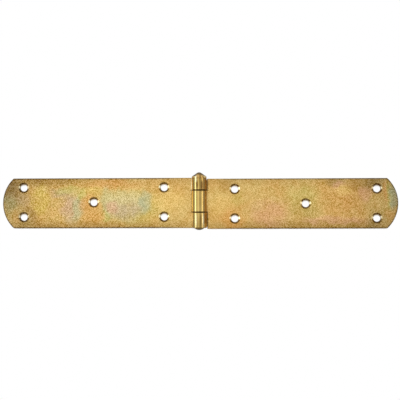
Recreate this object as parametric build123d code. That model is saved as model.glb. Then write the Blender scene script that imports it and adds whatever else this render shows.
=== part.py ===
from build123d import *
from math import asin, cos, degrees, radians, sin, tan
import os

# Strap hinge lying open on its back, in millimetres, +Z up towards the barrel side.
# The pin lies along Y over x = 0, with its head towards +Y. The straps reach along -X and +X.

# Straps, cut from strip
STRAP_WIDTH = 35.5
STRAP_REACH = 140.0  # pin axis to the end of the rounded tip
SHEET = 2.5
TIP_RISE = 7.7  # depth of the arc across the free end
TIP_CORNER = 1.6  # rounding where that arc meets the long edges
EDGE_ROUNDING = 0.8  # front edges, drawn down by the punch
BACK_CHAMFER = 0.35  # burr side, tumbled before plating
STAGGER = 0.7  # the swinging strap sits this much lower along the pin

# Screw holes, two pairs and a single one halfway between them
HOLE_DIAMETER = 5.2
RIM_WIDTH = 1.05  # sloping front rim
RIM_DEPTH = 0.5
HOLE_EDGE = 7.35  # centres of a pair to the long edges
HOLE_OFFSET = 0.65  # the double-knuckle strap's holes lie this much towards the head
FIRST_HOLE = 25.0  # pin axis to the nearest pair
TIP_MARGIN = 15.0  # last pair to the end of the tip

# Pin
PIN_DIAMETER = 5.5
PIN_CLEARANCE = 0.05  # radial, in the knuckles
HEAD_INSET = 0.05  # head rim inside the barrel's outside, so that the straps lie flat
HEAD_BAND = 0.8  # straight rim under the cone
HEAD_SLOPE = 34.7  # degrees from the shoulder plane
HEAD_TIP = 3.0  # rounding of the cone's tip
HEAD_EDGE = 0.25
TAIL_LIP = 0.55  # peened metal past the shank
TAIL_BAND = 0.3  # straight rim under the dome
TAIL_DOME = 1.15

# Knuckles, rolled from tongues of the straps
UPPER_KNUCKLE = 8.6
LOWER_KNUCKLE = 11.1
KNUCKLE_GAP = 0.25  # between neighbours, along the pin
NOTCH_CLEARANCE = 0.3  # strap edge to the other strap's knuckle
NOTCH_CORNER = 0.4
SEAM_GAP = 0.25  # rolled end to its own strap's face

TINY = 0.001  # for picking edges and faces by their place
HALF_WIDTH = STRAP_WIDTH / 2
PIN_RADIUS = PIN_DIAMETER / 2
BORE_RADIUS = PIN_RADIUS + PIN_CLEARANCE
ROLL_RADIUS = BORE_RADIUS + SHEET
ROLL_ANGLE = 270 + degrees(asin((BORE_RADIUS - SEAM_GAP) / ROLL_RADIUS))
NOTCH_X = ROLL_RADIUS + NOTCH_CLEARANCE
PIN_AXIS = Axis((0, 0, ROLL_RADIUS), (0, 1, 0))

UPPER_SPAN = (HALF_WIDTH - UPPER_KNUCKLE, HALF_WIDTH)
LOWER_SPAN = (-HALF_WIDTH, LOWER_KNUCKLE - HALF_WIDTH)
MIDDLE_SPAN = (LOWER_SPAN[1] + KNUCKLE_GAP, UPPER_SPAN[0] - KNUCKLE_GAP)


def blank_outline(spans, centre):
    """Outline of a strap along +X, with a tongue up to the pin axis for each knuckle."""
    corner_x = STRAP_REACH - TIP_RISE
    low = centre - HALF_WIDTH
    high = centre + HALF_WIDTH
    sides = Polyline((corner_x, high), (NOTCH_X, high), (NOTCH_X, low), (corner_x, low))
    tip = ThreePointArc((corner_x, low), (STRAP_REACH, centre), (corner_x, high))
    outline = make_face(sides + tip)
    outline = fillet(outline.vertices().sort_by(Axis.X)[-2:], TIP_CORNER)
    for start, end in spans:
        outline += Pos(0, start) * Rectangle(NOTCH_X, end - start, align=Align.MIN)
    notch = outline.vertices().filter_by_position(Axis.X, NOTCH_X - TINY, NOTCH_X + TINY)
    inner_corners = notch.filter_by_position(Axis.Y, low + TINY, high - TINY)
    return fillet(inner_corners, NOTCH_CORNER)


def hole_places(middle):
    """Screw hole centres on a strap along +X, about the line at one height along the pin."""
    last_hole = STRAP_REACH - TIP_MARGIN
    row = HALF_WIDTH - HOLE_EDGE
    places = [((FIRST_HOLE + last_hole) / 2, middle)]
    for x in (FIRST_HOLE, last_hole):
        places += [(x, middle + row), (x, middle - row)]
    return places


def screw_hole():
    """Solid of one hole through the strap, opening out at the front face."""
    radius = HOLE_DIAMETER / 2
    rim = Pos(0, 0, SHEET - RIM_DEPTH / 2) * Cone(radius, radius + RIM_WIDTH, RIM_DEPTH)
    return Pos(0, 0, SHEET / 2) * Cylinder(radius, SHEET) + rim


def outline_edges(blank, height, from_x):
    """Edges of the blank's outline at one height, those whose middle lies past from_x."""
    level = blank.edges().filter_by_position(Axis.Z, height - TINY, height + TINY)
    return level.filter_by(lambda edge: edge.center().X > from_x)


def punched_blank(spans, centre, hole_middle):
    """Flat strap before rolling, with its edges eased and its holes punched."""
    blank = extrude(blank_outline(spans, centre), SHEET)
    blank = fillet(outline_edges(blank, SHEET, NOTCH_X + TINY), EDGE_ROUNDING)
    blank = chamfer(outline_edges(blank, 0, TINY), BACK_CHAMFER)
    for x, y in hole_places(hole_middle):
        blank -= Pos(x, y) * screw_hole()
    return blank


def rolled_strap(spans, centre, hole_middle):
    """Strap along +X with each tongue rolled on round the pin."""
    strap = punched_blank(spans, centre, hole_middle)
    tongue_ends = strap.faces().filter_by(Axis.X).filter_by_position(Axis.X, -TINY, TINY)
    for end in tongue_ends:
        strap += revolve(end, PIN_AXIS, ROLL_ANGLE)
    return strap


def double_knuckle_strap():
    """Strap along -X with the upper and the lower knuckle."""
    return mirror(rolled_strap([UPPER_SPAN, LOWER_SPAN], 0, HOLE_OFFSET), about=Plane.YZ)


def single_knuckle_strap():
    """Strap along +X with the middle knuckle."""
    return rolled_strap([MIDDLE_SPAN], -STAGGER, -STAGGER)


def head_profile():
    """Half of the conical head that seats on the upper knuckle, from the shank to the axis."""
    slope = radians(HEAD_SLOPE)
    rim_x = ROLL_RADIUS - HEAD_INSET
    rim_y = HALF_WIDTH + HEAD_BAND
    blend_x = HEAD_TIP * sin(slope)
    blend_y = rim_y + (rim_x - blend_x) * tan(slope)
    top_y = blend_y + HEAD_TIP * (1 - cos(slope))
    sides = Polyline((PIN_RADIUS, HALF_WIDTH), (rim_x, HALF_WIDTH), (rim_x, rim_y), (blend_x, blend_y))
    sides = chamfer(sides.vertices().sort_by(Axis.Y)[2], HEAD_EDGE)
    return sides + RadiusArc((blend_x, blend_y), (0, top_y), -HEAD_TIP)


def tail_profile():
    """Half of the peened tail that seats under the lower knuckle, from the axis to the shank."""
    rim_x = PIN_RADIUS + TAIL_LIP
    rim_y = -HALF_WIDTH - TAIL_BAND
    dome_radius = (TAIL_DOME**2 + rim_x**2) / (2 * TAIL_DOME)
    dome = RadiusArc((0, rim_y - TAIL_DOME), (rim_x, rim_y), -dome_radius)
    return dome + Polyline((rim_x, rim_y), (rim_x, -HALF_WIDTH), (PIN_RADIUS, -HALF_WIDTH))


def rivet_pin():
    """Pin along the barrel, closed by its head and its tail."""
    head = head_profile()
    tail = tail_profile()
    shank = Line((PIN_RADIUS, -HALF_WIDTH), (PIN_RADIUS, HALF_WIDTH))
    top = head.vertices().sort_by(Axis.Y)[-1]
    bottom = tail.vertices().sort_by(Axis.Y)[0]
    centre = Line((0, top.Y), (0, bottom.Y))
    profile = make_face(tail + shank + head + centre)
    return Pos(0, 0, ROLL_RADIUS) * revolve(profile, Axis.Y)


os.makedirs("parts", exist_ok=True)
export_step(double_knuckle_strap(), "parts/double_knuckle_strap.step")
export_step(single_knuckle_strap(), "parts/single_knuckle_strap.step")
export_step(rivet_pin(), "parts/rivet_pin.step")
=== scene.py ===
"""Yellow-plated strap hinge, dressed and lit for a straight-down catalogue view."""

import logging
import math
from dataclasses import dataclass
from enum import Enum
from typing import Any

import bpy
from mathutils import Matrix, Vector


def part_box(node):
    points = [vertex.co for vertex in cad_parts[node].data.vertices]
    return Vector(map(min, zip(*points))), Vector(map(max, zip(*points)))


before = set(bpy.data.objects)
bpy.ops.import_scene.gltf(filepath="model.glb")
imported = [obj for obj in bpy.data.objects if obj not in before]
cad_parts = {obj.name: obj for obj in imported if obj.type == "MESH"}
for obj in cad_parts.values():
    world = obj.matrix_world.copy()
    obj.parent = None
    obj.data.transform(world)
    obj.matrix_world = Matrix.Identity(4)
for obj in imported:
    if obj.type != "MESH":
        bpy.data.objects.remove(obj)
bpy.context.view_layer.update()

MM = 0.001
LOG = logging.getLogger("strap_hinge")

Colour = tuple[float, float, float]
Span = tuple[float, float]
Stops = tuple[tuple[float, float], ...]
Socket = bpy.types.NodeSocket

WHITE: Colour = (1.0, 1.0, 1.0)
NOISE_MIDDLE = 0.5
NOISE_FINENESS = 0.6
GRAIN_DEPTH = 0.2 * MM


def from_screen(red: int, green: int, blue: int) -> Colour:
    """Turn a screen colour into the linear colour that shaders take.

    Args:
        red: Red level, 0 to 255.
        green: Green level, 0 to 255.
        blue: Blue level, 0 to 255.

    Returns:
        The linear red, green and blue.
    """
    levels = (level / 255 for level in (red, green, blue))
    return tuple(s / 12.92 if s <= 0.04045 else ((s + 0.055) / 1.055) ** 2.4 for s in levels)


def metres(span: Span) -> Span:
    """Turn a span in millimetres into one in metres."""
    return span[0] * MM, span[1] * MM


class NodeBench:
    """Adds and wires the nodes of one node tree."""

    def __init__(self, tree: bpy.types.NodeTree) -> None:
        """Take over a tree and empty it.

        Args:
            tree: Node tree of a material, a world or a group.
        """
        self.tree = tree
        self.tree.nodes.clear()

    def add(
        self, kind: str, inputs: dict[Any, Any] | None = None, **settings: Any
    ) -> bpy.types.Node:
        """Add a node, set it up and feed its inputs.

        Args:
            kind: Node type, without the ShaderNode prefix.
            inputs: Socket name or number to a value, or to the socket that feeds it.
            **settings: Properties of the node itself.

        Returns:
            The new node.
        """
        node = self.tree.nodes.new("ShaderNode" + kind)
        for name, value in settings.items():
            setattr(node, name, value)
        for name, value in (inputs or {}).items():
            self.feed(node.inputs[name], value)
        return node

    def feed(self, socket: Socket, value: Any) -> None:
        """Link a socket to another one, or set its value.

        Args:
            socket: Input socket.
            value: Output socket to link, or the value itself.
        """
        if isinstance(value, bpy.types.NodeSocket):
            self.tree.links.new(value, socket)
        else:
            socket.default_value = value

    def group(self, tree: bpy.types.NodeTree, inputs: dict[str, Any]) -> dict[str, Socket]:
        """Place a shared group.

        Args:
            tree: The group.
            inputs: Values or sockets for its inputs.

        Returns:
            Its outputs by name.
        """
        node = self.add("Group", node_tree=tree)
        for name, value in inputs.items():
            self.feed(node.inputs[name], value)
        return {socket.name: socket for socket in node.outputs}

    def math(self, operation: str, *values: Any) -> Socket:
        """Work out a number.

        Args:
            operation: Name of the Math node's operation.
            *values: Numbers or sockets.

        Returns:
            Socket with the result.
        """
        return self.add("Math", dict(enumerate(values)), operation=operation).outputs[0]

    def vector(self, operation: str, *values: Any) -> Socket:
        """Work out a vector.

        Args:
            operation: Name of the Vector Math node's operation.
            *values: Vectors or sockets.

        Returns:
            Socket with the result, a vector or a length.
        """
        node = self.add("VectorMath", dict(enumerate(values)), operation=operation)
        return node.outputs["Value" if operation == "LENGTH" else "Vector"]

    def split(self, vector: Socket) -> tuple[Socket, Socket, Socket]:
        """Take a vector apart.

        Args:
            vector: Socket with the vector.

        Returns:
            Its three parts.
        """
        return tuple(self.add("SeparateXYZ", {0: vector}).outputs)

    def remap(self, value: Socket, low: Any, high: Any, start: Any = 0.0, end: Any = 1.0) -> Socket:
        """Blend smoothly from one number to another as a value rises.

        Args:
            value: Socket to read.
            low: Value where the blend begins.
            high: Value where it ends.
            start: Result at the beginning.
            end: Result at the end.

        Returns:
            Socket with the result.
        """
        inputs = {"Value": value, "From Min": low, "From Max": high, "To Min": start, "To Max": end}
        return self.add("MapRange", inputs, interpolation_type="SMOOTHSTEP").outputs["Result"]

    def noise(self, place: Socket, waves: Any, octaves: Any) -> dict[str, Socket]:
        """Add a noise texture.

        Args:
            place: Place to read it at.
            waves: Waves per metre, a number or a socket.
            octaves: Octaves, a number or a socket.

        Returns:
            Its outputs by name.
        """
        inputs = {"Vector": place, "Scale": waves, "Detail": octaves, "Roughness": NOISE_FINENESS}
        node = self.add("TexNoise", inputs)
        return {socket.name: socket for socket in node.outputs}

    def mix(self, factor: Any, first: Any, second: Any) -> Socket:
        """Blend two colours.

        Args:
            factor: Share of the second colour.
            first: First colour or its socket.
            second: Second colour or its socket.

        Returns:
            Socket with the blend.
        """
        colours = [c if isinstance(c, bpy.types.NodeSocket) else (*c, 1.0) for c in (first, second)]
        node = self.add("Mix", {0: factor, 6: colours[0], 7: colours[1]}, data_type="RGBA")
        return node.outputs[2]

    def ramp(self, value: Socket, stops: Stops) -> Socket:
        """Turn a number from -1 to 1 into a level along a line of stops.

        Args:
            value: Socket to read.
            stops: Places, 0 at -1 and 1 at 1, and levels.

        Returns:
            Socket with the level.
        """
        node = self.add("ValToRGB", {"Fac": self.math("MULTIPLY_ADD", value, 0.5, 0.5)})
        elements = node.color_ramp.elements
        while len(elements) < len(stops):
            elements.new(1.0)
        for element, (place, level) in zip(elements, stops):
            element.position = place
            element.color = (level, level, level, 1.0)
        return node.outputs["Color"]

    def tint(self, colour: Socket, factor: Any) -> Socket:
        """Multiply a colour by a number.

        Args:
            colour: Socket with the colour.
            factor: The number or its socket.

        Returns:
            Socket with the result.
        """
        node = self.add("VectorMath", {0: colour, "Scale": factor}, operation="SCALE")
        return node.outputs["Vector"]


class GroupBench(NodeBench):
    """Builds a shader node group with named inputs and outputs."""

    def __init__(
        self, name: str, inputs: dict[str, tuple[str, Any]], outputs: dict[str, str]
    ) -> None:
        """Make the empty group.

        Args:
            name: Name of the group.
            inputs: Input name to its kind and its usual value.
            outputs: Output name to its kind.
        """
        super().__init__(bpy.data.node_groups.new(name, "ShaderNodeTree"))
        new_socket = self.tree.interface.new_socket
        for label, (kind, value) in inputs.items():
            socket = new_socket(label, in_out="INPUT", socket_type="NodeSocket" + kind)
            if value is not None:
                socket.default_value = value
        for label, kind in outputs.items():
            new_socket(label, in_out="OUTPUT", socket_type="NodeSocket" + kind)
        self.source = self.tree.nodes.new("NodeGroupInput").outputs
        self.result = self.tree.nodes.new("NodeGroupOutput").inputs


class MaterialBench(NodeBench):
    """Builds a material."""

    def __init__(self, name: str) -> None:
        """Make the empty material.

        Args:
            name: Name of the material.
        """
        self.material = bpy.data.materials.new(name)
        self.material.use_nodes = True
        super().__init__(self.material.node_tree)

    def place(self) -> Socket:
        """Read the coordinates of the piece itself."""
        return self.add("TexCoord").outputs["Object"]

    def show(self, surface: Socket) -> None:
        """Put a shader out as the surface."""
        self.add("OutputMaterial", {"Surface": surface})

    def show_metal(self, colour: Socket, roughness: Socket, height: Socket, relief: float) -> None:
        """Put out grained metal as the surface.

        Args:
            colour: Socket with its colour.
            roughness: Socket with its roughness.
            height: Socket with the height of its grains.
            relief: How strongly the grains stand out.
        """
        bump = self.add("Bump", {"Height": height, "Strength": relief, "Distance": GRAIN_DEPTH})
        shader = self.add(
            "BsdfPrincipled",
            {
                "Base Color": colour,
                "Roughness": roughness,
                "Metallic": 1.0,
                "Normal": bump.outputs["Normal"],
            },
        )
        self.show(shader.outputs["BSDF"])


class Tint(Enum):
    """Colours of the passivation film, and colours that paint highlights, dark reflections and
    shade.
    """

    GOLD = from_screen(217, 184, 114)
    AMBER = from_screen(211, 168, 96)
    ORANGE = from_screen(216, 158, 88)
    YELLOW = from_screen(222, 194, 100)
    LEAF_GREEN = from_screen(196, 190, 104)
    GREEN_GREY = from_screen(186, 184, 134)
    BLUE_GREY = from_screen(176, 182, 146)
    GREY = from_screen(198, 176, 138)
    PINK = from_screen(222, 168, 132)
    # Brown paints dark reflection bands and shade on the barrel and the pin's head, two brown
    # patches on the upper knuckle, and shade in the floor's narrow slots.
    BROWN = from_screen(120, 88, 44)
    # Painted shade in the hole rims and walls.
    RIM_BROWN = from_screen(112, 82, 10)
    # Dusk is a film colour of the straps and paints dark reflection bands on the barrel.
    DUSK = from_screen(150, 122, 72)
    TAN = from_screen(176, 138, 70)
    # Straw is a film colour of the left strap and paints a highlight band on the barrel.
    STRAW = from_screen(222, 206, 142)
    # Bright is a film colour of the straps and paints highlights on the barrel and the pin's head.
    BRIGHT = from_screen(234, 198, 118)
    # Glint paints a highlight on the pin's head.
    GLINT = from_screen(250, 226, 160)
    # Painted highlight: pale lines in the barrel's creases, wider highlights on the knuckles and
    # the pin's head, and the bright gaps in the hole rims.
    PALE = from_screen(254, 238, 192)
    # Painted highlight: white lines in the creases beside the outer knuckles.
    BARE = from_screen(252, 252, 250)
    # Painted shade: dark lines in the knuckle gaps and beside the notches, under the lower
    # knuckle's end, and dark arcs on the pin's head.
    GRIME = from_screen(52, 32, 10)


@dataclass
class PlatingGroups:
    """Effects that the straps and the pin share, each built once as a node group.

    The burnish is given in barrel radii, the rim's edge and foot in rim radii, its height over the
    strap's back in millimetres, and the bright gap as sines of the angle round the hole.
    """

    grain_dip: float = 0.5
    drift_span: Span = (0.35, 0.65)
    burnish_span: Span = (1.03, 1.25)
    rim_edge: Span = (0.96, 1.10)
    rim_foot: Span = (0.72, 0.76)
    rim_height: Span = (0.1, 0.4)
    gap_middle: float = 0.16
    gap_span: Span = (0.14, 0.40)
    gap_sides: Span = (-0.6, 0.6)
    gap_levels: Span = (0.6, 1.0)

    def __post_init__(self) -> None:
        """Build the groups."""
        self.grain = self._build_grain()
        self.drift = self._build_drift()
        self.stain_or_light = self._build_patch_mask()
        self.outline = self._build_outline()
        self.barrel = self._build_barrel()
        self.rim = self._build_rim()

    def _build_grain(self) -> bpy.types.NodeTree:
        """Build the fine crystal sparkle of electroplated zinc.

        Returns:
            Group that puts out the sparkle around zero and a height for bump.
        """
        bench = GroupBench(
            "Zinc grain",
            {"Vector": ("Vector", None), "Grains Per Metre": ("Float", 1000.0)},
            {"Sparkle": "Float", "Height": "Float"},
        )
        inputs = {"Vector": bench.source["Vector"], "Scale": bench.source["Grains Per Metre"]}
        cells = bench.add("TexVoronoi", inputs).outputs
        bright, tall, _ = bench.split(cells["Color"])
        height = bench.math("MULTIPLY_ADD", cells["Distance"], -self.grain_dip, tall)
        bench.feed(bench.result["Sparkle"], bench.math("SUBTRACT", bright, NOISE_MIDDLE))
        bench.feed(bench.result["Height"], height)
        return bench.tree

    def _build_drift(self) -> bpy.types.NodeTree:
        """Build the slow drift of the film from gold to amber.

        Returns:
            Group that puts out the film's colour.
        """
        bench = GroupBench(
            "Film drift",
            {
                "Vector": ("Vector", None),
                "Waves Per Metre": ("Float", 60.0),
                "Octaves": ("Float", 4.0),
            },
            {"Colour": "Color"},
        )
        source = bench.source
        drift = bench.noise(source["Vector"], source["Waves Per Metre"], source["Octaves"])["Fac"]
        share = bench.remap(drift, *self.drift_span)
        bench.feed(bench.result["Colour"], bench.mix(share, Tint.GOLD.value, Tint.AMBER.value))
        return bench.tree

    @staticmethod
    def _build_patch_mask() -> bpy.types.NodeTree:
        """Build the mask of one soft-edged patch.

        Returns:
            Group that puts out 1 in the patch and 0 away from it.
        """
        bench = GroupBench(
            "Stain patch",
            {
                "Vector": ("Vector", None),
                "Centre": ("Vector", (0.0, 0.0, 0.0)),
                "Half Size": ("Vector", (0.01, 0.01, 1.0)),
                "Softness": ("Float", 0.6),
            },
            {"Mask": "Float"},
        )
        away = bench.vector("SUBTRACT", bench.source["Vector"], bench.source["Centre"])
        away = bench.vector("DIVIDE", away, bench.source["Half Size"])
        reach = bench.vector("LENGTH", bench.vector("MULTIPLY", away, (1.0, 1.0, 0.0)))
        inner = bench.math("SUBTRACT", 1.0, bench.source["Softness"])
        outer = bench.math("ADD", 1.0, bench.source["Softness"])
        bench.feed(bench.result["Mask"], bench.remap(reach, inner, outer, 1.0, 0.0))
        return bench.tree

    @staticmethod
    def _build_outline() -> bpy.types.NodeTree:
        """Build the distance from a strap's long edges and its rounded end.

        Returns:
            Group that puts out that distance in metres.
        """
        bench = GroupBench(
            "Strap outline",
            {
                "Vector": ("Vector", None),
                "Middle": ("Float", 0.0),
                "Half Width": ("Float", 0.018),
                "Tip Centre": ("Float", 0.116),
                "Tip Radius": ("Float", 0.024),
            },
            {"Distance": "Float"},
        )
        x, y, _ = bench.split(bench.source["Vector"])
        across = bench.math("ABSOLUTE", bench.math("SUBTRACT", y, bench.source["Middle"]))
        along = bench.math("SUBTRACT", bench.math("ABSOLUTE", x), bench.source["Tip Centre"])
        along = bench.math("MAXIMUM", along, 0.0)
        square = bench.math("MULTIPLY_ADD", along, along, bench.math("MULTIPLY", across, across))
        from_tip = bench.math("SUBTRACT", bench.source["Tip Radius"], bench.math("SQRT", square))
        from_side = bench.math("SUBTRACT", bench.source["Half Width"], across)
        bench.feed(bench.result["Distance"], bench.math("MINIMUM", from_tip, from_side))
        return bench.tree

    def _build_barrel(self) -> bpy.types.NodeTree:
        """Build the mask of the burnished metal round the pin axis.

        Returns:
            Group that puts out 1 on the barrel and 0 on the flats, and the distance from the axis.
        """
        bench = GroupBench(
            "Barrel burnish",
            {
                "Vector": ("Vector", None),
                "Axis": ("Vector", (0.0, 0.0, 0.0053)),
                "Radius": ("Float", 0.0053),
            },
            {"Mask": "Float", "Reach": "Float"},
        )
        away = bench.vector("SUBTRACT", bench.source["Vector"], bench.source["Axis"])
        reach = bench.vector("LENGTH", bench.vector("MULTIPLY", away, (1.0, 0.0, 1.0)))
        ends = [bench.math("MULTIPLY", bench.source["Radius"], end) for end in self.burnish_span]
        bench.feed(bench.result["Mask"], bench.remap(reach, *ends, 1.0, 0.0))
        bench.feed(bench.result["Reach"], reach)
        return bench.tree

    def _build_rim(self) -> bpy.types.NodeTree:
        """Build the painted shade in a screw hole's rim, with painted highlights in gaps towards
        the pin and away from it.

        Returns:
            Group that puts out the masks of the dark and of the bright arcs, 0 on the back.
        """
        bench = GroupBench(
            "Hole rim",
            {
                "Vector": ("Vector", None),
                "Centre": ("Vector", (0.0, 0.0, 0.0)),
                "Radius": ("Float", 0.0036),
            },
            {"Dark": "Float", "Bright": "Float"},
        )
        away = bench.vector("SUBTRACT", bench.source["Vector"], bench.source["Centre"])
        away = bench.vector("MULTIPLY", away, (1.0, 1.0, 0.0))
        reach = bench.math("DIVIDE", bench.vector("LENGTH", away), bench.source["Radius"])
        off_back = bench.remap(bench.split(bench.source["Vector"])[2], *metres(self.rim_height))
        ring = bench.math("MULTIPLY", bench.remap(reach, *self.rim_edge, 1.0, 0.0), off_back)
        x, y, _ = bench.split(bench.vector("NORMALIZE", away))
        hand = bench.math("SIGN", bench.split(bench.source["Centre"])[0])
        outwards = bench.math("MULTIPLY", x, hand)
        outwards = bench.remap(outwards, *self.gap_sides, *self.gap_levels)
        turn = bench.math("ABSOLUTE", bench.math("SUBTRACT", y, self.gap_middle))
        gap = bench.math("MULTIPLY", bench.remap(turn, *self.gap_span, 1.0, 0.0), outwards)
        gap = bench.math("MULTIPLY", gap, bench.remap(reach, *self.rim_foot))
        dark = bench.math("MULTIPLY", ring, bench.math("SUBTRACT", 1.0, gap))
        bench.feed(bench.result["Dark"], dark)
        bench.feed(bench.result["Bright"], bench.math("MULTIPLY", ring, gap))
        return bench.tree


@dataclass(frozen=True)
class StainOrPaintedLight:
    """Patch of another film colour, or of painted light on the barrel and pin (a highlight, a dark
    reflection band or shade), in millimetres on the strap's face.
    """

    tint: Tint
    centre: tuple[float, float]
    half_size: tuple[float, float]
    strength: float
    softness: float = 0.5
    wander: float = 1.0

    def paint(
        self, bench: NodeBench, groups: PlatingGroups, place: Socket, patchy: Any, colour: Socket
    ) -> Socket:
        """Lay the patch over a colour.

        Args:
            bench: Bench of the material.
            groups: Shared plating effects.
            place: Place to read the patch at.
            patchy: Share of the patch that shows, a number or a socket.
            colour: Socket with the colour under it.

        Returns:
            Socket with the new colour.
        """
        inputs = {
            "Vector": place,
            "Centre": (self.centre[0] * MM, self.centre[1] * MM, 0.0),
            "Half Size": (self.half_size[0] * MM, self.half_size[1] * MM, 1.0),
            "Softness": self.softness,
        }
        mask = bench.group(groups.stain_or_light, inputs)["Mask"]
        mask = bench.math("MULTIPLY", mask, self.strength)
        return bench.mix(bench.math("MULTIPLY", mask, patchy), colour, self.tint.value)


@dataclass(frozen=True)
class Barrel:
    """Where the knuckles and the pin lie, in metres."""

    axis_height: float
    radius: float

    def measure(
        self, bench: NodeBench, groups: PlatingGroups, place: Socket
    ) -> dict[str, Socket]:
        """Find the burnished metal and the distance from the pin axis.

        Args:
            bench: Bench of the material.
            groups: Shared plating effects.
            place: Object coordinates.

        Returns:
            Outputs of the barrel group by name.
        """
        axis = (0.0, 0.0, self.axis_height)
        return bench.group(groups.barrel, {"Vector": place, "Axis": axis, "Radius": self.radius})


@dataclass(frozen=True)
class StrapFinish:
    """Yellow-passivated zinc plate of one strap, with its lengths in millimetres."""

    name: str
    stains: tuple[StainOrPaintedLight, ...]
    marks_and_painted_light: tuple[StainOrPaintedLight, ...]
    holes: tuple[tuple[float, float], ...]
    sparkle: float
    glitter: float = 0.25
    grains_per_metre: float = 2600.0
    grain_relief: float = 0.04
    grain_roughness: float = 0.1
    coarse_span: Span = (5.0, 80.0)
    coarse_levels: Span = (0.78, 1.05)
    face_roughness: float = 0.27
    barrel_roughness: float = 0.14
    barrel_calm: float = 0.93
    drift_waves: float = 60.0
    drift_octaves: float = 4.0
    cloud_waves: float = 110.0
    cloud_octaves: float = 3.0
    cloud_span: Span = (0.25, 0.6)
    cloud_levels: Span = (0.55, 1.0)
    stray: float = 10.0
    marks_and_light_height: Span = (1.0, 2.0)
    rim_radius: float = 3.65
    rim_darkness: float = 0.92
    tip_rise: float = 7.7
    edge_line: float = 0.45
    edge_line_start: Span = (8.0, 30.0)
    edge_line_width: Span = (0.3, 1.3)
    edge_band: float = 0.86
    edge_band_width: float = 8.0
    end_shade: float = 0.78
    end_start: float = 0.6

    def build(self, groups: PlatingGroups, barrel: Barrel, node: str) -> bpy.types.Material:
        """Make the material.

        Args:
            groups: Shared plating effects.
            barrel: Where the knuckles lie.
            node: Name of the strap's node.

        Returns:
            The finished material.
        """
        bench = MaterialBench(self.name)
        place = bench.place()
        along = bench.math("ABSOLUTE", bench.split(place)[0])
        inputs = {"Vector": place, "Grains Per Metre": self.grains_per_metre}
        grain = bench.group(groups.grain, inputs)
        burnish = barrel.measure(bench, groups, place)["Mask"]
        coarse = bench.remap(along, *metres(self.coarse_span), *self.coarse_levels)
        calm = bench.math("MULTIPLY_ADD", burnish, -self.barrel_calm, 1.0)
        calm = bench.math("MULTIPLY", calm, coarse)
        sparkle = bench.math("MULTIPLY", grain["Sparkle"], calm)
        shade = bench.math("MULTIPLY_ADD", sparkle, self.sparkle, 1.0)
        edges = self._edge_shade(bench, groups, place, along, node)
        shade = bench.math("MULTIPLY", shade, edges)
        colour = bench.tint(self._film_colour(bench, groups, place), shade)
        glitter = bench.math("MULTIPLY", sparkle, self.sparkle * self.glitter)
        roughness = bench.math("MULTIPLY_ADD", sparkle, self.grain_roughness, self.face_roughness)
        smoother = bench.math("SUBTRACT", self.barrel_roughness, roughness)
        roughness = bench.math("MULTIPLY_ADD", burnish, smoother, roughness)
        height = bench.math("MULTIPLY", grain["Height"], calm)
        bench.show_metal(
            bench.vector("ADD", colour, glitter), roughness, height, self.grain_relief
        )
        return bench.material

    def _film_colour(self, bench: NodeBench, groups: PlatingGroups, place: Socket) -> Socket:
        """Blend the film's drift and its stains, the barrel's painted light and patches, and the
        rims' painted shade and highlights.

        Args:
            bench: Bench of the material.
            groups: Shared plating effects.
            place: Object coordinates.

        Returns:
            Socket with the film's colour.
        """
        inputs = {"Vector": place}
        inputs |= {"Waves Per Metre": self.drift_waves, "Octaves": self.drift_octaves}
        colour = bench.group(groups.drift, inputs)["Colour"]
        cloud = bench.noise(place, self.cloud_waves, self.cloud_octaves)
        wander = bench.vector("SUBTRACT", cloud["Color"], (NOISE_MIDDLE,) * 3)
        patchy = bench.remap(cloud["Fac"], *self.cloud_span, *self.cloud_levels)
        for stain_or_light in self.stains:
            step = stain_or_light.wander * self.stray * MM
            strayed = bench.vector("MULTIPLY_ADD", wander, (step, step, 0.0), place)
            colour = stain_or_light.paint(bench, groups, strayed, patchy, colour)
        # The barrel's painted highlights, dark reflection bands, gap shade and patches show only on
        # the front.
        off_back = bench.remap(bench.split(place)[2], *metres(self.marks_and_light_height))
        patchy = bench.math("MULTIPLY", patchy, off_back)
        for mark_or_light in self.marks_and_painted_light:
            colour = mark_or_light.paint(bench, groups, place, patchy, colour)
        # Painted shade in each hole's rim and wall, and painted highlights in the rim's bright
        # gaps.
        for x, y in self.holes:
            inputs = {"Vector": place}
            inputs |= {"Centre": (x * MM, y * MM, 0.0), "Radius": self.rim_radius * MM}
            rim = bench.group(groups.rim, inputs)
            rim_darkening = bench.math("MULTIPLY", rim["Dark"], self.rim_darkness)
            colour = bench.mix(rim_darkening, colour, Tint.RIM_BROWN.value)
            colour = bench.mix(rim["Bright"], colour, Tint.PALE.value)
        return colour

    def _edge_shade(
        self, bench: NodeBench, groups: PlatingGroups, place: Socket, along: Socket, node: str
    ) -> Socket:
        """Paint a dark line of shade on the outline's rounded edge and shade towards the free end,
        and darken a band along the outline.

        Args:
            bench: Bench of the material.
            groups: Shared plating effects.
            place: Object coordinates.
            along: Distance from the pin axis along the strap.
            node: Name of the strap's node.

        Returns:
            Socket with the shade.
        """
        low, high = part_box(node)
        half_width = (high[1] - low[1]) / 2
        reach = max(high[0], -low[0])
        rise = self.tip_rise * MM
        radius = (half_width**2 + rise**2) / (2 * rise)
        inputs = {
            "Vector": place,
            "Middle": (high[1] + low[1]) / 2,
            "Half Width": half_width,
            "Tip Centre": reach - radius,
            "Tip Radius": radius,
        }
        distance = bench.group(groups.outline, inputs)["Distance"]
        depth = bench.remap(along, *metres(self.edge_line_start), 1.0, self.edge_line)
        line = bench.remap(distance, *metres(self.edge_line_width), depth, 1.0)
        band = bench.remap(distance, 0.0, self.edge_band_width * MM, self.edge_band, 1.0)
        end = bench.remap(along, reach * self.end_start, reach, 1.0, self.end_shade)
        return bench.math("MULTIPLY", bench.math("MULTIPLY", line, band), end)


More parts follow.
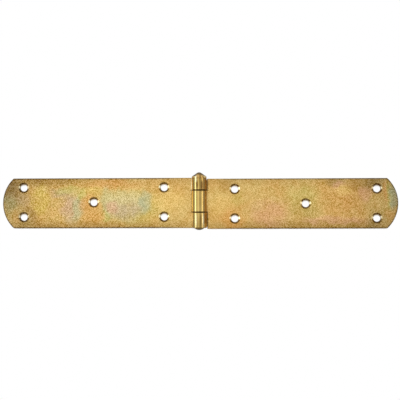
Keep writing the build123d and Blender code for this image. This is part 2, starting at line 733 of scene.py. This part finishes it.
@dataclass(frozen=True)
class PinFinish:
    """Plate of the pin, with painted light on its head and painted shade on its tail and on the
    shank in the bores, with lengths in millimetres.
    """

    name: str
    marks_and_painted_light: tuple[StainOrPaintedLight, ...]
    sparkle: float = 0.35
    grains_per_metre: float = 1400.0
    grain_relief: float = 0.05
    grain_roughness: float = 0.15
    roughness: float = 0.2
    drift_waves: float = 240.0
    drift_octaves: float = 3.0
    cone_shade: float = 0.2
    cone_start: Span = (18.4, 18.7)
    cone_height: Span = (7.0, 9.6)
    tail_shade: float = 0.1
    tail_start: Span = (17.5, 18.2)
    shank_shade: float = 0.12
    shank_radius: Span = (2.9, 3.4)
    shank_end: Span = (17.2, 17.7)

    def build(self, groups: PlatingGroups, barrel: Barrel, node: str) -> bpy.types.Material:
        """Make the material.

        Args:
            groups: Shared plating effects.
            barrel: Where the pin lies.
            node: Name of the pin's node, which this finish has no need of.

        Returns:
            The finished material.
        """
        bench = MaterialBench(self.name)
        place = bench.place()
        inputs = {"Vector": place, "Grains Per Metre": self.grains_per_metre}
        grain = bench.group(groups.grain, inputs)
        inputs = {"Vector": place}
        inputs |= {"Waves Per Metre": self.drift_waves, "Octaves": self.drift_octaves}
        colour = bench.group(groups.drift, inputs)["Colour"]
        # Painted highlights, reflection bands and shade on the head.
        for mark_or_light in self.marks_and_painted_light:
            colour = mark_or_light.paint(bench, groups, place, 1.0, colour)
        # Painted shade on the cone, the tail and the shank.
        shade = self._painted_shade(bench, place, barrel.measure(bench, groups, place)["Reach"])
        twinkle = bench.math("MULTIPLY_ADD", grain["Sparkle"], self.sparkle, 1.0)
        colour = bench.tint(colour, bench.math("MULTIPLY", shade, twinkle))
        roughness = bench.math(
            "MULTIPLY_ADD", grain["Sparkle"], self.grain_roughness, self.roughness
        )
        bench.show_metal(colour, roughness, grain["Height"], self.grain_relief)
        return bench.material

    def _painted_shade(self, bench: NodeBench, place: Socket, reach: Socket) -> Socket:
        """Paint shade on the head's cone towards its tip and sides, on the riveted tail and on the
        shank in the bores.

        Args:
            bench: Bench of the material.
            place: Object coordinates.
            reach: Distance from the pin axis.

        Returns:
            Socket with the shade.
        """
        _, y, z = bench.split(place)
        below_cone = bench.remap(y, *metres(self.cone_start), 1.0, 0.0)
        cone = bench.remap(z, *metres(self.cone_height), self.cone_shade, 1.0)
        cone = bench.math("MAXIMUM", cone, below_cone)
        tailwards = bench.math("MULTIPLY", y, -1.0)
        tail = bench.remap(tailwards, *metres(self.tail_start), 1.0, self.tail_shade)
        outside = bench.remap(bench.math("ABSOLUTE", y), *metres(self.shank_end))
        shank = bench.remap(reach, *metres(self.shank_radius), self.shank_shade, 1.0)
        shank = bench.math("MAXIMUM", shank, outside)
        return bench.math("MULTIPLY", bench.math("MULTIPLY", cone, tail), shank)


LEFT_STAINS = (
    StainOrPaintedLight(Tint.TAN, (-75.0, -16.5), (72.0, 3.5), strength=0.7, softness=0.6, wander=0.4),
    StainOrPaintedLight(Tint.TAN, (-112.0, 16.0), (30.0, 4.0), strength=0.8, wander=0.4),
    StainOrPaintedLight(Tint.DUSK, (-134.0, 6.0), (9.0, 12.0), strength=0.65),
    StainOrPaintedLight(Tint.GREEN_GREY, (-135.0, 1.0), (5.0, 7.0), strength=0.45),
    StainOrPaintedLight(Tint.DUSK, (-133.0, 11.0), (5.0, 5.0), strength=0.5),
    StainOrPaintedLight(Tint.ORANGE, (-130.0, -11.0), (4.0, 4.0), strength=0.4),
    StainOrPaintedLight(Tint.GREY, (-124.0, 2.0), (5.0, 5.0), strength=0.4),
    StainOrPaintedLight(Tint.DUSK, (-122.0, -9.0), (7.0, 6.0), strength=0.45),
    StainOrPaintedLight(Tint.YELLOW, (-113.0, 2.0), (6.0, 9.0), strength=0.7),
    StainOrPaintedLight(Tint.GREY, (-100.0, 8.0), (8.0, 3.0), strength=0.6),
    StainOrPaintedLight(Tint.GREY, (-90.0, -2.0), (8.0, 10.0), strength=0.8),
    StainOrPaintedLight(Tint.PINK, (-93.0, -3.0), (5.0, 6.0), strength=0.35),
    StainOrPaintedLight(Tint.LEAF_GREEN, (-92.0, 9.5), (9.0, 2.5), strength=0.5),
    StainOrPaintedLight(Tint.LEAF_GREEN, (-83.5, 6.0), (3.0, 4.0), strength=0.6),
    StainOrPaintedLight(Tint.GREEN_GREY, (-86.5, -3.5), (3.0, 8.0), strength=0.6),
    StainOrPaintedLight(Tint.YELLOW, (-75.0, 8.5), (6.0, 3.5), strength=0.5),
    StainOrPaintedLight(Tint.ORANGE, (-75.0, -4.0), (8.0, 9.0), strength=0.5),
    StainOrPaintedLight(Tint.ORANGE, (-62.0, 13.5), (22.0, 3.5), strength=0.6),
    StainOrPaintedLight(Tint.LEAF_GREEN, (-66.0, -8.0), (3.0, 4.0), strength=0.8),
    StainOrPaintedLight(Tint.LEAF_GREEN, (-48.0, -2.0), (19.0, 11.0), strength=0.6),
    StainOrPaintedLight(Tint.GREEN_GREY, (-65.0, 0.0), (5.0, 10.0), strength=0.55),
    StainOrPaintedLight(Tint.GREY, (-52.0, -2.0), (13.0, 9.0), strength=0.9),
    StainOrPaintedLight(Tint.STRAW, (-53.0, 3.5), (17.0, 5.0), strength=0.6),
    StainOrPaintedLight(Tint.PINK, (-62.0, -4.0), (4.0, 4.0), strength=0.5),
    StainOrPaintedLight(Tint.BLUE_GREY, (-38.0, 1.5), (4.5, 7.0), strength=0.7),
    StainOrPaintedLight(Tint.BRIGHT, (-22.0, 2.0), (13.0, 7.0), strength=0.6),
)

RIGHT_STAINS = (
    StainOrPaintedLight(Tint.TAN, (75.0, -17.0), (72.0, 4.0), strength=0.7, softness=0.6, wander=0.4),
    StainOrPaintedLight(Tint.BRIGHT, (16.0, 0.0), (9.0, 8.0), strength=0.4),
    StainOrPaintedLight(Tint.LEAF_GREEN, (27.0, 3.0), (5.0, 5.0), strength=0.3),
    StainOrPaintedLight(Tint.TAN, (20.0, 12.0), (6.0, 5.0), strength=0.5),
    StainOrPaintedLight(Tint.ORANGE, (24.0, -12.0), (8.0, 6.0), strength=0.6),
    StainOrPaintedLight(Tint.PINK, (50.0, -8.0), (13.0, 9.0), strength=0.5),
    StainOrPaintedLight(Tint.LEAF_GREEN, (73.0, 1.0), (11.0, 12.0), strength=0.4),
    StainOrPaintedLight(Tint.TAN, (74.0, -6.0), (9.0, 9.0), strength=0.4),
    StainOrPaintedLight(Tint.ORANGE, (96.0, 0.0), (12.0, 12.0), strength=0.4),
    StainOrPaintedLight(Tint.ORANGE, (109.0, 2.0), (9.0, 12.0), strength=0.5),
    StainOrPaintedLight(Tint.DUSK, (97.0, 14.5), (6.0, 2.5), strength=0.4),
    StainOrPaintedLight(Tint.BRIGHT, (103.0, 8.0), (5.0, 4.0), strength=0.6),
    StainOrPaintedLight(Tint.TAN, (117.0, 13.0), (11.0, 5.0), strength=0.6),
    StainOrPaintedLight(Tint.DUSK, (124.0, 12.0), (6.0, 6.0), strength=0.5),
    StainOrPaintedLight(Tint.DUSK, (124.0, -12.0), (6.0, 6.0), strength=0.5),
    StainOrPaintedLight(Tint.PINK, (117.0, 6.0), (4.0, 5.0), strength=0.5),
    StainOrPaintedLight(Tint.PINK, (99.0, 12.5), (4.0, 2.0), strength=0.5),
    StainOrPaintedLight(Tint.PINK, (95.0, -12.5), (22.0, 2.5), strength=0.5),
    StainOrPaintedLight(Tint.ORANGE, (130.5, 7.0), (1.6, 6.0), strength=0.6),
    StainOrPaintedLight(Tint.ORANGE, (133.0, -9.5), (3.5, 4.0), strength=0.6),
    StainOrPaintedLight(Tint.LEAF_GREEN, (134.0, 4.0), (2.0, 8.0), strength=0.5),
    StainOrPaintedLight(Tint.BLUE_GREY, (137.0, 4.0), (3.0, 8.0), strength=0.7),
)

LEFT_HOLES = ((-125.0, 11.05), (-125.0, -9.75), (-75.0, 0.65), (-25.0, 11.05), (-25.0, -9.75))
RIGHT_HOLES = ((125.0, 9.7), (125.0, -11.1), (75.0, -0.7), (25.0, 9.7), (25.0, -11.1))

# Painted light on the barrel and the strap beside it: pale and white lines and patches for
# highlights,
# and under the lower knuckle's end; also a green tint and two brown patches on the upper knuckle.
# brown and dusky bands for dark reflections, and dark shade in the knuckle gaps, beside the notches
BARREL_MARKS_AND_PAINTED_LIGHT = (
    StainOrPaintedLight(Tint.PALE, (-5.5, 13.2), (0.38, 6.0), strength=1.0, softness=0.4),
    StainOrPaintedLight(Tint.PALE, (-4.9, 1.25), (0.45, 7.8), strength=0.9, softness=0.4),
    StainOrPaintedLight(Tint.BARE, (-4.9, -12.0), (0.45, 6.0), strength=0.9, softness=0.4),
    StainOrPaintedLight(Tint.BARE, (-4.95, 13.2), (0.35, 5.0), strength=0.7, softness=0.4),
    StainOrPaintedLight(Tint.BROWN, (-4.1, 0.0), (0.4, 60.0), strength=0.8),
    StainOrPaintedLight(Tint.BROWN, (-3.6, 11.6), (0.7, 3.4), strength=0.8),
    StainOrPaintedLight(Tint.BROWN, (-3.4, 0.0), (0.35, 60.0), strength=0.4),
    StainOrPaintedLight(Tint.DUSK, (-1.5, 0.0), (0.5, 60.0), strength=0.6, softness=0.6),
    StainOrPaintedLight(Tint.LEAF_GREEN, (-1.0, 0.0), (3.6, 60.0), strength=0.25, softness=0.3),
    StainOrPaintedLight(Tint.STRAW, (-2.8, 0.0), (0.8, 60.0), strength=0.5),
    StainOrPaintedLight(Tint.PALE, (-1.9, 16.6), (0.6, 2.2), strength=0.6, softness=0.4),
    StainOrPaintedLight(Tint.PALE, (-1.9, -12.0), (0.55, 4.4), strength=0.6, softness=0.4),
    StainOrPaintedLight(Tint.BROWN, (-1.25, 12.6), (0.6, 3.0), strength=1.0),
    StainOrPaintedLight(Tint.BROWN, (0.8, 0.0), (0.6, 60.0), strength=0.5, softness=0.6),
    StainOrPaintedLight(Tint.BROWN, (2.1, 12.2), (0.8, 3.6), strength=1.0),
    StainOrPaintedLight(Tint.DUSK, (-0.6, -12.0), (0.6, 5.0), strength=0.5),
    StainOrPaintedLight(Tint.BROWN, (1.4, -12.0), (0.5, 4.6), strength=0.7),
    StainOrPaintedLight(Tint.BROWN, (4.5, 0.0), (1.1, 60.0), strength=0.55, softness=0.4),
    StainOrPaintedLight(Tint.PALE, (2.95, -12.5), (0.45, 5.0), strength=0.8, softness=0.4),
    StainOrPaintedLight(Tint.BRIGHT, (4.3, -16.0), (1.3, 1.6), strength=0.8),
    StainOrPaintedLight(Tint.GRIME, (5.9, 13.5), (0.4, 5.0), strength=0.5, softness=0.4),
    StainOrPaintedLight(Tint.GRIME, (5.8, -12.5), (0.5, 6.5), strength=0.6, softness=0.4),
    StainOrPaintedLight(Tint.GRIME, (0.0, 9.03), (6.0, 0.55), strength=0.95, softness=0.35),
    StainOrPaintedLight(Tint.GRIME, (0.0, -6.53), (6.0, 0.55), strength=0.95, softness=0.35),
    StainOrPaintedLight(Tint.GRIME, (0.4, -17.75), (4.2, 0.5), strength=0.8),
)

# Painted light on the pin's head: a pale highlight, bright and brown bands carrying on the barrel's
# reflections, and dark shade arcs on the cone.
PIN_PAINTED_LIGHT = (
    StainOrPaintedLight(Tint.PALE, (-2.2, 18.4), (0.8, 0.7), strength=1.0, softness=0.3),
    StainOrPaintedLight(Tint.BROWN, (0.9, 18.8), (0.7, 1.0), strength=0.6),
    StainOrPaintedLight(Tint.BRIGHT, (2.2, 18.6), (0.6, 0.6), strength=0.7),
    StainOrPaintedLight(Tint.BROWN, (2.9, 18.5), (0.4, 0.8), strength=0.6),
    StainOrPaintedLight(Tint.GLINT, (4.0, 18.5), (0.6, 0.8), strength=0.8),
    StainOrPaintedLight(Tint.GRIME, (-3.3, 19.4), (1.3, 0.6), strength=0.9, softness=0.4),
    StainOrPaintedLight(Tint.GRIME, (1.1, 19.9), (1.2, 0.6), strength=0.4),
)


class Finish(Enum):
    """Finish of each piece, by the name of its node."""

    double_knuckle_strap = StrapFinish(
        "fixed strap yellow zinc", LEFT_STAINS, BARREL_MARKS_AND_PAINTED_LIGHT, LEFT_HOLES, sparkle=0.72
    )
    single_knuckle_strap = StrapFinish(
        "swinging strap yellow zinc", RIGHT_STAINS, BARREL_MARKS_AND_PAINTED_LIGHT, RIGHT_HOLES, sparkle=0.62
    )
    rivet_pin = PinFinish("pin yellow zinc", PIN_PAINTED_LIGHT)


@dataclass
class HingePieces:
    """The two straps and the pin, taken from the frame."""

    groups: PlatingGroups

    def dress(self) -> None:
        """Give each piece its finish."""
        low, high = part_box("single_knuckle_strap")
        radius = (high[2] - low[2]) / 2
        barrel = Barrel(axis_height=low[2] + radius, radius=radius)
        for finish in Finish:
            material = finish.value.build(self.groups, barrel, finish.name)
            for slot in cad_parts[finish.name].material_slots:
                slot.material = material
            LOG.info("%s: %s", finish.name, material.name)


@dataclass(frozen=True)
class SoftBox:
    """Area lamp over the pin, leaning to one side."""

    name: str
    lean: float
    distance: float
    width: float
    length: float
    power: float

    def hang(self) -> None:
        """Put the lamp up, facing the hinge."""
        data = bpy.data.lights.new(self.name, "AREA")
        data.shape = "RECTANGLE"
        data.size = self.width
        data.size_y = self.length
        data.energy = self.power
        lamp = bpy.data.objects.new(self.name, data)
        bpy.context.scene.collection.objects.link(lamp)
        lean = math.radians(self.lean)
        lamp.location = Vector((math.sin(lean), 0.0, math.cos(lean))) * self.distance
        lamp.rotation_euler = (0.0, lean, 0.0)
        LOG.info("lamp: %s", self.name)


@dataclass(frozen=True)
class Paper:
    """White paper of the floor, which keeps the hinge's shadow and is clear to the eye elsewhere.

    The shadow's reach and the seat are in millimetres.
    """

    shadow_reach: float = 4.0
    shadow_samples: int = 32
    lean: tuple[float, float] = (0.64, 0.77)
    slot_span: Span = (0.25, 0.36)
    open_span: Span = (0.27, 0.43)
    glow: float = 0.25
    grey: float = 0.7
    bounce: Tint = Tint.GOLD
    seat: float = 0.5

    def build(self) -> bpy.types.Material:
        """Make the material.

        Returns:
            The finished material.
        """
        bench = MaterialBench("white paper")
        path = bench.add("LightPath").outputs
        seen = bench.math("MAXIMUM", path["Is Camera Ray"], path["Is Glossy Ray"])
        seen = bench.math("MAXIMUM", seen, path["Is Transmission Ray"])
        slotless, open_paper = self._openness(bench)
        glow = bench.math("MULTIPLY", bench.math("MULTIPLY", seen, open_paper), self.glow)
        # Painted bounce light and shade: the paper is tinted gold in the hinge's shadow and turns
        # brown in narrow slots.
        colour = bench.mix(open_paper, self.bounce.value, (self.grey,) * 3)
        colour = bench.mix(slotless, Tint.BROWN.value, colour)
        diffuse = bench.add("BsdfDiffuse", {"Color": colour})
        lit = bench.add("Emission", {"Strength": glow})
        paper = bench.add("AddShader", {0: diffuse.outputs[0], 1: lit.outputs[0]})
        clear = bench.add("BsdfTransparent")
        share = self._clearness(bench, path, open_paper)
        inputs = {0: share, 1: paper.outputs[0], 2: clear.outputs[0]}
        bench.show(bench.add("MixShader", inputs).outputs[0])
        return bench.material

    def _openness(self, bench: NodeBench) -> tuple[Socket, Socket]:
        """Find where the hinge covers the paper.

        Args:
            bench: Bench of the material.

        Returns:
            Sockets that are 0 in a narrow slot and 1 elsewhere, and 0 in the shadow and 1 in the
            open.
        """
        towards_head = bench.add("CombineXYZ", {"Y": self.lean[0], "Z": self.lean[1]}).outputs[0]
        inputs = {"Distance": self.shadow_reach * MM}
        roomy = bench.add("AmbientOcclusion", inputs, samples=self.shadow_samples).outputs["AO"]
        inputs["Normal"] = towards_head
        open_air = bench.add("AmbientOcclusion", inputs, samples=self.shadow_samples).outputs["AO"]
        slotless = bench.remap(roomy, *self.slot_span)
        return slotless, bench.math("MULTIPLY", bench.remap(open_air, *self.open_span), slotless)

    def _clearness(self, bench: NodeBench, path: Any, open_paper: Socket) -> Socket:
        """Let the eye through in the open and from below, and the straps' backs see the room below.

        Args:
            bench: Bench of the material.
            path: Outputs of its Light Path node.
            open_paper: Socket that is 1 in the open.

        Returns:
            Socket with the share that is clear.
        """
        behind = bench.add("NewGeometry").outputs["Backfacing"]
        to_eye = bench.math("MAXIMUM", open_paper, behind)
        to_eye = bench.math("MULTIPLY", path["Is Camera Ray"], to_eye)
        seated = bench.math("LESS_THAN", path["Ray Length"], self.seat * MM)
        return bench.math("MAXIMUM", to_eye, bench.math("MULTIPLY", path["Is Glossy Ray"], seated))


@dataclass(frozen=True)
class Room:
    """Light of the room: bright overhead, dim ends, a pale horizon.

    Stops run from the left and from the tail's side, and the horizon is a span of heights.
    """

    across: Stops = (
        (0.0, 0.55), (0.03, 0.60), (0.15, 0.75), (0.25, 0.80), (0.375, 1.0), (0.50, 0.95),
        (0.56, 0.75), (0.65, 0.60), (0.75, 0.75), (0.82, 0.85), (0.925, 0.55), (1.0, 0.45),
    )
    along: Stops = (
        (0.0, 0.72), (0.2, 0.72), (0.3, 0.80), (0.4, 0.98), (0.5, 1.0),
        (0.6, 0.98), (0.7, 0.80), (0.8, 0.72), (1.0, 0.72),
    )
    level: float = 1.15
    horizon: Span = (0.03, 0.09)
    horizon_grey: float = 0.8

    def light(self) -> None:
        """Light the room, which is white to the eye and, from the horizon down, in mirrors."""
        world = bpy.data.worlds.new("studio")
        bpy.context.scene.world = world
        world.use_nodes = True
        bench = NodeBench(world.node_tree)
        x, y, z = bench.split(bench.add("TexCoord").outputs["Generated"])
        level = bench.vector("MULTIPLY", bench.ramp(x, self.across), bench.ramp(y, self.along))
        low = bench.remap(z, *self.horizon, 1.0, 0.0)
        colour = bench.tint(bench.mix(low, level, (self.horizon_grey,) * 3), self.level)
        path = bench.add("LightPath").outputs
        mirrored = bench.math("MAXIMUM", path["Is Glossy Ray"], path["Is Transmission Ray"])
        mirrored = bench.math("MULTIPLY", mirrored, low)
        seen = bench.math("MAXIMUM", path["Is Camera Ray"], mirrored)
        background = bench.add("Background", {"Color": bench.mix(seen, colour, WHITE)})
        bench.add("OutputWorld", {"Surface": background.outputs[0]})


@dataclass
class Studio:
    """Pale floor, soft light and the camera over the hinge, in metres and degrees."""

    floor_size: float = 8.0
    floor_drop: float = 0.2 * MM
    camera_distance: float = 0.90
    camera_lean: float = 2.4
    camera_roll: float = -0.2
    camera_sight: float = 100.0
    view_width: float = 0.2829
    sensor_mm: float = 36.0
    aim: tuple[float, float, float] = (0.46 * MM, 1.88 * MM, 2.5 * MM)
    paper: Paper = Paper()
    room: Room = Room()
    boxes: tuple[SoftBox, ...] = (
        SoftBox("key softbox", lean=-55.0, distance=0.9, width=0.24, length=0.7, power=0.9),
        SoftBox("strip softbox", lean=54.0, distance=0.9, width=0.14, length=0.7, power=0.45),
    )

    def build(self) -> None:
        """Build the whole set."""
        self.lay_floor()
        self.room.light()
        for box in self.boxes:
            box.hang()
        self.aim_camera()
        bpy.context.scene.view_settings.view_transform = "Standard"

    def lay_floor(self) -> None:
        """Lay the pale floor under the hinge."""
        bpy.ops.object.select_all(action="DESELECT")
        place = (0.0, 0.0, -self.floor_drop)
        bpy.ops.mesh.primitive_plane_add(size=self.floor_size, location=place)
        floor = bpy.context.object
        floor.name = "floor"
        floor.data.materials.append(self.paper.build())

    def aim_camera(self) -> None:
        """Set the camera over the hinge."""
        data = bpy.data.cameras.new("camera")
        data.sensor_width = self.sensor_mm
        data.lens = self.sensor_mm * self.camera_distance / self.view_width
        data.clip_end = self.camera_sight
        camera = bpy.data.objects.new("camera", data)
        bpy.context.scene.collection.objects.link(camera)
        lean = math.radians(self.camera_lean)
        step = Vector((math.sin(lean), 0.0, math.cos(lean))) * self.camera_distance
        camera.location = Vector(self.aim) + step
        camera.rotation_euler = (0.0, lean, math.radians(self.camera_roll))
        bpy.context.scene.camera = camera


def main() -> None:
    """Dress the hinge and light it."""
    logging.basicConfig(level=logging.INFO, format="%(name)s: %(message)s")
    HingePieces(PlatingGroups()).dress()
    Studio().build()


if __name__ == "__main__":
    main()
